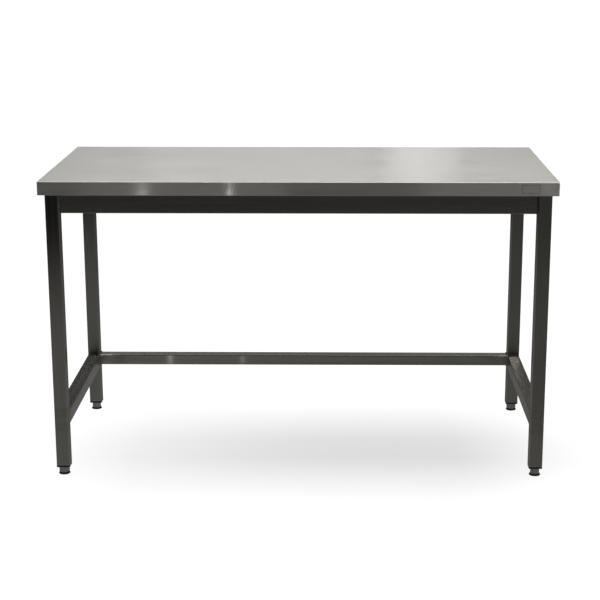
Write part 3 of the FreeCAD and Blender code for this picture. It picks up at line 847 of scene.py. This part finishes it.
def finish_frame():
    """Legs, aprons and rails, each with its own grain and weld zones. Aprons and cross rail are painted
    darker as shade, the rear lower rail lighter as painted light.
    """
    rail_low, rail_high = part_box("left_lower_rail")
    for corner in CORNERS:
        leg = corner + "_leg"
        joints = [(ALONG_Z, rail_high.z), (ALONG_Z, rail_low.z)]
        steel = brushed_steel(
            leg + "_steel", ALONG_Z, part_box(leg), FRAME_TONE, FRAME_ROUGHNESS, welds=joints
        )
        give(nodes[leg], steel)
    for name, axis, tone, relief in (
        # Aprons and cross rail take the darker copy of the frame steel, as painted shade.
        ("front_apron", ALONG_X, APRON_PAINTED_SHADE_TONE, GRAIN_RELIEF),
        ("rear_apron", ALONG_X, APRON_PAINTED_SHADE_TONE, GRAIN_RELIEF),
        ("left_apron", ALONG_Y, APRON_PAINTED_SHADE_TONE, GRAIN_RELIEF),
        ("right_apron", ALONG_Y, APRON_PAINTED_SHADE_TONE, GRAIN_RELIEF),
        ("centre_cross_rail", ALONG_Y, APRON_PAINTED_SHADE_TONE, GRAIN_RELIEF),
        # The rear lower rail takes the lighter copy of the frame steel, as painted light.
        ("rear_lower_rail", ALONG_X, REAR_RAIL_PAINTED_LIGHT_TONE, FAINT_RELIEF),
        ("left_lower_rail", ALONG_Y, FRAME_TONE, FAINT_RELIEF),
        ("right_lower_rail", ALONG_Y, FRAME_TONE, FAINT_RELIEF),
    ):
        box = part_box(name)
        joints = [(axis, box[0][axis]), (axis, box[1][axis])]
        steel = brushed_steel(
            name + "_steel", axis, box, tone, FRAME_ROUGHNESS, welds=joints, relief=relief
        )
        give(nodes[name], steel)


def finish_worktop():
    """The folded sheet, the blank badge and the boards inside."""
    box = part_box("worktop_sheet")
    sheet = brushed_steel("worktop_steel", ALONG_X, box, TOP_TONE, TOP_ROUGHNESS, marks=1.0)
    give(nodes["worktop_sheet"], sheet)
    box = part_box("blank_badge")
    # The badge's rim is darkened with painted shade.
    badge = brushed_steel("badge_steel", ALONG_X, box, TOP_TONE, TOP_ROUGHNESS, edge=BADGE_RIM_PAINTED_SHADE)
    give(nodes["blank_badge"], badge)
    board = faced_board("grey_faced_board")
    give(nodes["core_board"], board)
    for place in ("front", "rear", "left", "right", "centre"):
        give(nodes[place + "_batten"], board)


def finish_fixings():
    """Brackets, screws, rivets and welds."""
    mill = bright_metal("mill_finish_bracket", (0.56, 0.56, 0.55), 0.34, 160.0)
    for name in BRACKETS:
        give(nodes[name + "_bracket"], mill)
    make_screws(bright_metal("zinc_plated_screw", (0.62, 0.63, 0.66), 0.28))
    give(nodes["bracket_rivets"], bright_metal("bright_rivet", (0.66, 0.66, 0.65), 0.26))
    make_welds(bright_metal("brushed_weld_bead", (0.22, 0.215, 0.20), 0.48, 320.0))


def finish_feet():
    """Plugs, hexagons, studs, nuts and glides."""
    plastic = black_plastic("black_moulded_plastic")
    hexagon = bright_metal("turned_foot_steel", (0.50, 0.50, 0.49), 0.34, 300.0)
    thread = bright_metal("rolled_thread_steel", (0.58, 0.58, 0.57), 0.24, 400.0)
    for corner in CORNERS:
        give(nodes[corner + "_plug"], plastic)
        give(nodes[corner + "_glide"], plastic)
        give(nodes[corner + "_hex"], hexagon)
        make_stud(corner, thread)
        give(nodes[corner + "_nut"], thread)


# ---------------------------------------------------------------- studio
CAMERA_PLACE = (0.106685, -4.539098, 1.609538)
CAMERA_PITCH = 0.2471376
CAMERA_YAW = 0.0103525
CAMERA_LENS = 88.8393
CAMERA_SHIFT = -0.0333333

WHITE_STRENGTH = 1.05

# Brightness of the room in each direction, as the steel sees it.
ROOM = {
    "front": 0.0,
    "back low": 0.02,
    "back middle": 0.47,
    "ceiling": 0.46,
}
# Brightness of the floor in reflections, by distance from the table and by side.
FLOOR_GLOW = {
    "near left": 0.19,
    "near right": 0.165,
    "middle left": 0.175,
    "middle right": 0.115,
    "far left": 0.008,
    "far right": 0.078,
}

# name: place, aim, width, height, power
SOFTBOXES = {
    "overhead softbox": ((0.0, -0.1, 3.4), (0.0, -0.1, 0.0), 2.6, 1.4, 21.2),
    "overhead right softbox": ((1.0, -1.6, 3.2), (0.4, -0.35, 0.85), 1.6, 0.9, 1.3),
    "front left softbox": ((-2.2, -3.4, 1.6), (-0.4, -0.35, 0.85), 0.8, 1.2, 3.0),
    "front right softbox": ((2.2, -3.4, 1.6), (0.4, -0.35, 0.85), 0.8, 1.2, 25.0),
    "slab strip wide": ((-0.494, -0.70, 0.79), (-0.494, -0.35, 0.86), 0.012, 0.24, 0.0142),
    "slab strip narrow": ((-0.2112, -0.55, 0.81), (-0.2112, -0.35, 0.87), 0.004, 0.15, 0.0056),
    "slab strip right": ((0.793, -0.85, 0.78), (0.793, -0.35, 0.86), 0.012, 0.30, 0.0055),
    "slab glow left": ((-0.41, -1.10, 0.76), (-0.41, -0.35, 0.86), 0.70, 0.40, 0.109),
    "slab glow right": ((0.65, -1.10, 0.76), (0.65, -0.35, 0.86), 0.50, 0.40, 0.080),
    "top strip left": ((0.470, 3.2, 1.5), (0.3, 0.0, 0.9), 0.04, 0.9, 0.126),
    "top strip middle": ((0.535, 3.2, 1.5), (0.3, 0.0, 0.9), 0.02, 0.9, 0.163),
    "top strip right": ((0.61, 3.2, 1.5), (0.4, 0.0, 0.9), 0.04, 0.9, 0.110),
    "top glow": ((0.57, 3.4, 1.6), (0.3, 0.0, 0.9), 0.40, 0.9, 1.33),
    "top glow left": ((-0.30, 3.4, 1.6), (0.0, 0.0, 0.9), 1.20, 0.9, 1.65),
    "top wall left": ((-3.6, 0.6, 2.0), (0.0, 0.6, 0.9), 7.0, 2.0, 45.0),
    "top wall right": ((3.6, 0.6, 2.0), (0.0, 0.6, 0.9), 7.0, 2.0, 45.0),
    "side rail glow": ((0.0, 3.4, 1.25), (0.0, 0.0, 0.2), 3.4, 0.6, 0.7),
    "rail strip wide": ((-0.499, -0.11, 0.09), (-0.499, 0.29, 0.18), 0.012, 0.15, 0.0040),
    "rail strip narrow": ((-0.232, -0.11, 0.09), (-0.232, 0.29, 0.18), 0.008, 0.15, 0.0022),
    "floor softbox": ((0.03, 0.274, 3.4), (0.03, 0.274, 0.0), 2.96, 2.28, 348.0),
}


# First word of a softbox's name: the only pieces that it lights.
LIT_ALONE = {
    "slab": ("worktop_sheet", "blank_badge"),
    "top": ("worktop_sheet",),
    "rail": ("rear_lower_rail",),
    "side": ("left_lower_rail", "right_lower_rail"),
    "floor": ("studio_floor",),
}

# First word of a softbox's name: the pieces of the table that it leaves dark.
LEFT_DARK = {"front": ("left_lower_rail", "right_lower_rail", "rear_lower_rail")}


def make_camera():
    """Long lens from the front, a little to the right and above the worktop."""
    data = bpy.data.cameras.new("table_camera")
    data.lens = CAMERA_LENS
    data.sensor_width = 36.0
    data.shift_x = CAMERA_SHIFT
    camera = bpy.data.objects.new("table_camera", data)
    camera.location = CAMERA_PLACE
    camera.rotation_euler = (math.pi / 2 - CAMERA_PITCH, 0.0, CAMERA_YAW)
    bpy.context.scene.collection.objects.link(camera)
    bpy.context.scene.camera = camera


FLOOR_SIZE = 60.0
FLOOR_FILL = 0.66
FLOOR_SHADE = 0.25
# Round this point the floor is grey and takes the worktop's shadow. It fades to white over this range.
GREY_PATCH_MIDDLE = (0.28, -0.60)
GREY_PATCH_NARROWING = 1.40
GREY_PATCH_FADE = (0.16, 2.41)


def make_floor():
    """Pale seamless floor: white or pale grey to the camera, dimmer in reflections, clear from below."""
    bpy.ops.object.select_all(action="DESELECT")
    bpy.ops.mesh.primitive_plane_add(size=FLOOR_SIZE, location=(0.0, 0.0, 0.0))
    floor = bpy.context.object
    floor.name = "studio_floor"
    material = bpy.data.materials.new("pale_floor")
    material.use_nodes = True
    tree = material.node_tree
    tree.nodes.clear()
    place = tree.nodes.new("ShaderNodeTexCoord").outputs["Object"]
    length = tree.nodes.new("ShaderNodeVectorMath")
    length.operation = "LENGTH"
    tree.links.new(place, length.inputs[0])
    far = length.outputs["Value"]
    lit = tree.nodes.new("ShaderNodeBsdfDiffuse")
    lit.inputs["Color"].default_value = (FLOOR_SHADE, FLOOR_SHADE, FLOOR_SHADE, 1.0)
    fill = tree.nodes.new("ShaderNodeEmission")
    fill.inputs["Strength"].default_value = FLOOR_FILL
    near = tree.nodes.new("ShaderNodeAddShader")
    tree.links.new(lit.outputs[0], near.inputs[0])
    tree.links.new(fill.outputs[0], near.inputs[1])
    white = tree.nodes.new("ShaderNodeEmission")
    white.inputs["Color"].default_value = (1.0, 1.0, 1.0, 1.0)
    white.inputs["Strength"].default_value = WHITE_STRENGTH
    seen = tree.nodes.new("ShaderNodeMixShader")
    x, y, _ = split(tree, place)
    across = number(tree, "SUBTRACT", x, GREY_PATCH_MIDDLE[0])
    across = number(tree, "MULTIPLY", across, GREY_PATCH_NARROWING)
    back = number(tree, "SUBTRACT", y, GREY_PATCH_MIDDLE[1])
    across_squared = number(tree, "MULTIPLY", across, across)
    squares = number(tree, "ADD", across_squared, number(tree, "MULTIPLY", back, back))
    tree.links.new(ranged(tree, number(tree, "SQRT", squares), *GREY_PATCH_FADE), seen.inputs[0])
    tree.links.new(near.outputs[0], seen.inputs[1])
    tree.links.new(white.outputs[0], seen.inputs[2])
    dim = tree.nodes.new("ShaderNodeEmission")
    dim.inputs["Color"].default_value = (1.0, 0.99, 0.97, 1.0)
    rightward = ranged(tree, x, -0.9, 0.9)
    bands = []
    for band in ("near", "middle", "far"):
        bands.append(between(tree, rightward, FLOOR_GLOW[band + " left"], FLOOR_GLOW[band + " right"]))
    glow = between(tree, ranged(tree, far, 0.7, 1.7), bands[0], bands[1])
    glow = between(tree, ranged(tree, far, 1.8, 4.6), glow, bands[2])
    tree.links.new(glow, dim.inputs["Strength"])
    path = tree.nodes.new("ShaderNodeLightPath")
    both = tree.nodes.new("ShaderNodeMixShader")
    tree.links.new(path.outputs["Is Camera Ray"], both.inputs[0])
    tree.links.new(dim.outputs[0], both.inputs[1])
    tree.links.new(seen.outputs[0], both.inputs[2])
    clear = tree.nodes.new("ShaderNodeBsdfTransparent")
    side = tree.nodes.new("ShaderNodeNewGeometry")
    one_sided = tree.nodes.new("ShaderNodeMixShader")
    tree.links.new(side.outputs["Backfacing"], one_sided.inputs[0])
    tree.links.new(both.outputs[0], one_sided.inputs[1])
    tree.links.new(clear.outputs[0], one_sided.inputs[2])
    output = tree.nodes.new("ShaderNodeOutputMaterial")
    tree.links.new(one_sided.outputs[0], output.inputs["Surface"])
    floor.data.materials.append(material)


def make_surroundings():
    """White all round for the camera. In reflections: dark in front, brighter behind and overhead."""
    world = bpy.data.worlds.new("studio")
    bpy.context.scene.world = world
    world.use_nodes = True
    tree = world.node_tree
    tree.nodes.clear()
    direction = tree.nodes.new("ShaderNodeTexCoord").outputs["Generated"]
    _, y, z = split(tree, direction)
    backward = ranged(tree, y, -0.3, 0.3)
    behind = between(tree, ranged(tree, z, 0.40, 0.52), ROOM["back low"], ROOM["back middle"])
    walls = between(tree, backward, ROOM["front"], behind)
    strength = between(tree, ranged(tree, z, 0.55, 0.85), walls, ROOM["ceiling"])
    room = tree.nodes.new("ShaderNodeBackground")
    room.inputs["Color"].default_value = (1.0, 0.995, 0.98, 1.0)
    tree.links.new(strength, room.inputs["Strength"])
    white = tree.nodes.new("ShaderNodeBackground")
    white.inputs["Color"].default_value = (1.0, 1.0, 1.0, 1.0)
    white.inputs["Strength"].default_value = WHITE_STRENGTH
    path = tree.nodes.new("ShaderNodeLightPath")
    both = tree.nodes.new("ShaderNodeMixShader")
    tree.links.new(path.outputs["Is Camera Ray"], both.inputs[0])
    tree.links.new(room.outputs[0], both.inputs[1])
    tree.links.new(white.outputs[0], both.inputs[2])
    output = tree.nodes.new("ShaderNodeOutputWorld")
    tree.links.new(both.outputs[0], output.inputs["Surface"])


def make_lights():
    """Softboxes round the table, and narrow strips that give the bands seen in brushed steel.

    Those in neither list above light the whole table. Only the worktop shades the floor.
    """
    table = bpy.data.collections.new("lit_by_the_room")
    for piece in bpy.context.scene.objects:
        if piece.type == "MESH" and piece.name != "studio_floor":
            table.objects.link(piece)
    chosen = {start: [bpy.data.objects[name] for name in lit] for start, lit in LIT_ALONE.items()}
    for start, dark in LEFT_DARK.items():
        chosen[start] = [piece for piece in table.objects if piece.name not in dark]
    only = {}
    for start, pieces in chosen.items():
        only[start] = bpy.data.collections.new("lit_by_" + start + "_lights")
        for piece in pieces:
            only[start].objects.link(piece)
    for name, (place, aim, width, height, power) in SOFTBOXES.items():
        data = bpy.data.lights.new(name, "AREA")
        data.shape = "RECTANGLE"
        data.size = width
        data.size_y = height
        data.energy = power
        lamp = bpy.data.objects.new(name, data)
        lamp.location = place
        lamp.rotation_euler = (Vector(aim) - Vector(place)).to_track_quat("-Z", "Y").to_euler()
        lamp.visible_camera = False
        bpy.context.scene.collection.objects.link(lamp)
        start = name.split()[0]
        lamp.light_linking.receiver_collection = only.get(start, table)
        if start == "floor":
            lamp.light_linking.blocker_collection = only["slab"]


bpy.context.scene.view_settings.view_transform = "Standard"
make_camera()
make_floor()
make_surroundings()
finish_frame()
finish_worktop()
finish_fixings()
finish_feet()
make_lights()
